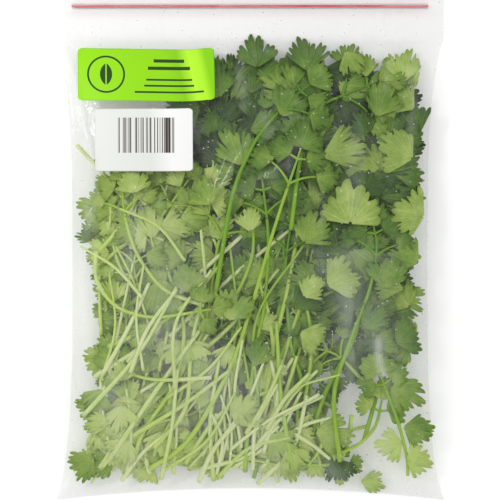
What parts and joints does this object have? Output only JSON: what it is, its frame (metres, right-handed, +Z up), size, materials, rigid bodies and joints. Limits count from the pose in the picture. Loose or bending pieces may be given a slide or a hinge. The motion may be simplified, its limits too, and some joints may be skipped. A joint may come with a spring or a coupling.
{
  "type": "coriander bunch in a resealable bag",
  "caption": "Cut coriander, stems and fan-shaped leaves, lying in a filled clear resealable bag with a red zip line and two plain labels.",
  "frame": {"origin": "on the surface that the bag lies on, under the middle of its outline", "axes": "+X across the bag, +Y up the bag from the cut stems to the zip, +Z up from the surface it lies on"},
  "size_m": [0.205, 0.283, 0.0347],
  "materials": {
    "film": "clear soft polythene film",
    "zip_red": "red extruded polythene",
    "zip_clear": "clear extruded polythene",
    "lime_label": "lime green gloss label",
    "white_label": "white satin label",
    "stem": "fresh pale green stem, satin",
    "leaf": "fresh green leaf, satin"
  },
  "bodies": {
    "root": {"bag_front_panel": "film", "bag_back_panel": "film", "zip_rib": "zip_red", "zip_groove": "zip_clear", "front_label": "lime_label", "barcode_label": "white_label", "sprig_01_stem": "stem", "sprig_01_leaves": "leaf", "sprig_02_stem": "stem", "sprig_02_leaves": "leaf", "sprig_03_stem": "stem", "sprig_03_leaves": "leaf", "sprig_04_stem": "stem", "sprig_04_leaves": "leaf", "sprig_05_stem": "stem", "sprig_05_leaves": "leaf", "sprig_06_stem": "stem", "sprig_06_leaves": "leaf", "sprig_07_stem": "stem", "sprig_07_leaves": "leaf", "sprig_08_stem": "stem", "sprig_08_leaves": "leaf", "sprig_09_stem": "stem", "sprig_09_leaves": "leaf", "sprig_10_stem": "stem", "sprig_10_leaves": "leaf", "sprig_11_stem": "stem", "sprig_11_leaves": "leaf", "sprig_12_stem": "stem", "sprig_12_leaves": "leaf", "sprig_13_stem": "stem", "sprig_13_leaves": "leaf", "sprig_14_stem": "stem", "sprig_14_leaves": "leaf", "sprig_15_stem": "stem", "sprig_15_leaves": "leaf", "sprig_16_stem": "stem", "sprig_16_leaves": "leaf", "sprig_17_stem": "stem", "sprig_17_leaves": "leaf", "sprig_18_stem": "stem", "sprig_18_leaves": "leaf", "sprig_19_stem": "stem", "sprig_19_leaves": "leaf", "sprig_20_stem": "stem", "sprig_20_leaves": "leaf", "sprig_21_stem": "stem", "sprig_21_leaves": "leaf", "sprig_22_stem": "stem", "sprig_22_leaves": "leaf", "sprig_23_stem": "stem", "sprig_23_leaves": "leaf"}
  },
  "joints": []
}
